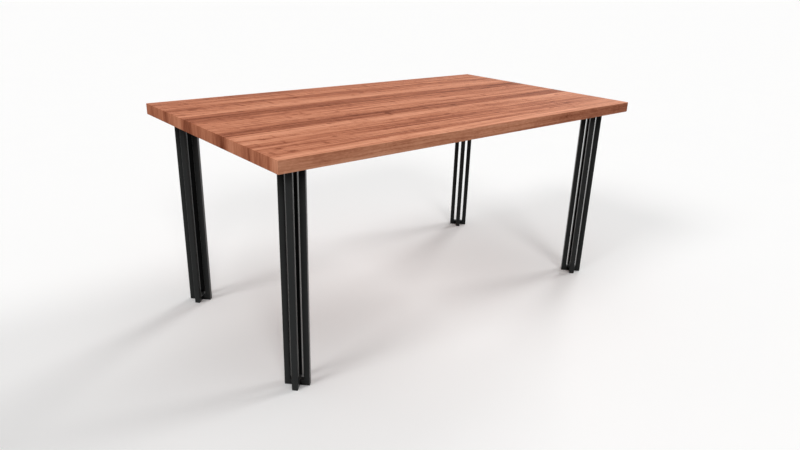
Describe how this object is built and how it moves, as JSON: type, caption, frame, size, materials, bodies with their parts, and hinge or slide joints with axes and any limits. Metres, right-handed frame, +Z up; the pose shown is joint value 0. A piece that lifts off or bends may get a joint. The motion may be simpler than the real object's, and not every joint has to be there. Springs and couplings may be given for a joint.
{
  "type": "table",
  "caption": "Rectangular table with a butcher block wooden top of glued staves, on black steel legs, each a cross of square tubes.",
  "frame": {"origin": "on the floor, under the middle of the top", "axes": "+X along the staves and the long side, +Y across them to the back, +Z up"},
  "size_m": [1.6, 0.9, 0.75],
  "materials": {
    "wood": "oiled reddish brown hardwood, satin",
    "powder_coated_steel": "black powder coat, satin",
    "screw_steel": "black zinc plated"
  },
  "bodies": {
    "root": {"stave_01": "wood", "stave_02": "wood", "stave_03": "wood", "stave_04": "wood", "stave_05": "wood", "stave_06": "wood", "stave_07": "wood", "stave_08": "wood", "stave_09": "wood", "stave_10": "wood", "stave_11": "wood", "stave_12": "wood", "front_left_outer_upright": "powder_coated_steel", "front_left_left_upright": "powder_coated_steel", "front_left_inner_upright": "powder_coated_steel", "front_left_right_upright": "powder_coated_steel", "front_left_long_tie": "powder_coated_steel", "front_left_left_tie": "powder_coated_steel", "front_left_right_tie": "powder_coated_steel", "front_left_plate": "powder_coated_steel", "front_left_screw_1": "screw_steel", "front_left_screw_2": "screw_steel", "front_left_screw_3": "screw_steel", "front_left_screw_4": "screw_steel", "front_right_outer_upright": "powder_coated_steel", "front_right_left_upright": "powder_coated_steel", "front_right_inner_upright": "powder_coated_steel", "front_right_right_upright": "powder_coated_steel", "front_right_long_tie": "powder_coated_steel", "front_right_left_tie": "powder_coated_steel", "front_right_right_tie": "powder_coated_steel", "front_right_plate": "powder_coated_steel", "front_right_screw_1": "screw_steel", "front_right_screw_2": "screw_steel", "front_right_screw_3": "screw_steel", "front_right_screw_4": "screw_steel", "back_left_outer_upright": "powder_coated_steel", "back_left_left_upright": "powder_coated_steel", "back_left_inner_upright": "powder_coated_steel", "back_left_right_upright": "powder_coated_steel", "back_left_long_tie": "powder_coated_steel", "back_left_left_tie": "powder_coated_steel", "back_left_right_tie": "powder_coated_steel", "back_left_plate": "powder_coated_steel", "back_left_screw_1": "screw_steel", "back_left_screw_2": "screw_steel", "back_left_screw_3": "screw_steel", "back_left_screw_4": "screw_steel", "back_right_outer_upright": "powder_coated_steel", "back_right_left_upright": "powder_coated_steel", "back_right_inner_upright": "powder_coated_steel", "back_right_right_upright": "powder_coated_steel", "back_right_long_tie": "powder_coated_steel", "back_right_left_tie": "powder_coated_steel", "back_right_right_tie": "powder_coated_steel", "back_right_plate": "powder_coated_steel", "back_right_screw_1": "screw_steel", "back_right_screw_2": "screw_steel", "back_right_screw_3": "screw_steel", "back_right_screw_4": "screw_steel"}
  },
  "joints": []
}
